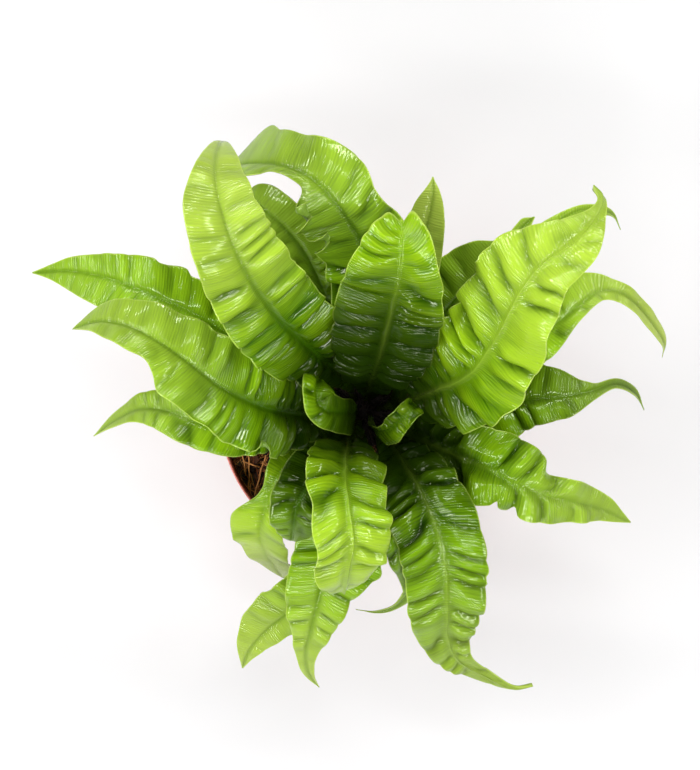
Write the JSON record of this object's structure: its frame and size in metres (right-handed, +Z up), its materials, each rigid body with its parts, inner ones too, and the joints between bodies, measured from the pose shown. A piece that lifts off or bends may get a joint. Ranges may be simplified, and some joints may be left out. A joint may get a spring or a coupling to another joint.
{
  "type": "crispy wave fern",
  "caption": "Potted bird's nest fern with a rosette of arching, rippled strap fronds growing from a short crown in a round nursery pot.",
  "frame": {"origin": "centre of the pot's foot, on the surface that the pot stands on", "axes": "+Z up along the pot's axis, +Y to the back of the plant, +X to its right seen from the front"},
  "size_m": [0.2968, 0.2563, 0.2982],
  "materials": {
    "pot": "satin",
    "potting_mix": "matte",
    "crown": "matte",
    "frond_bright": "gloss",
    "frond_green": "gloss",
    "frond_deep": "gloss"
  },
  "bodies": {
    "root": {"pot": "pot", "soil": "potting_mix", "crown": "crown", "frond_pale_front_left": "frond_bright", "frond_left_low": "frond_green", "frond_front_left_tip": "frond_green", "frond_hooked_front": "frond_deep", "frond_hooked_right": "frond_deep", "frond_arching_right": "frond_green", "frond_tail_right": "frond_bright", "frond_pointed_back": "frond_bright", "frond_inner_back_left": "frond_deep", "frond_left_high": "frond_green", "frond_front_trailing": "frond_green", "frond_dark_front_left": "frond_deep", "frond_wavy_right": "frond_green", "frond_long_front": "frond_deep", "frond_back_right": "frond_deep", "frond_broad_left": "frond_green", "frond_arching_back": "frond_green", "frond_tall_left": "frond_bright", "frond_broad_front": "frond_bright", "frond_broad_right": "frond_bright", "frond_centre_back": "frond_bright", "young_frond_left": "frond_green", "young_frond_right": "frond_bright"}
  },
  "joints": []
}
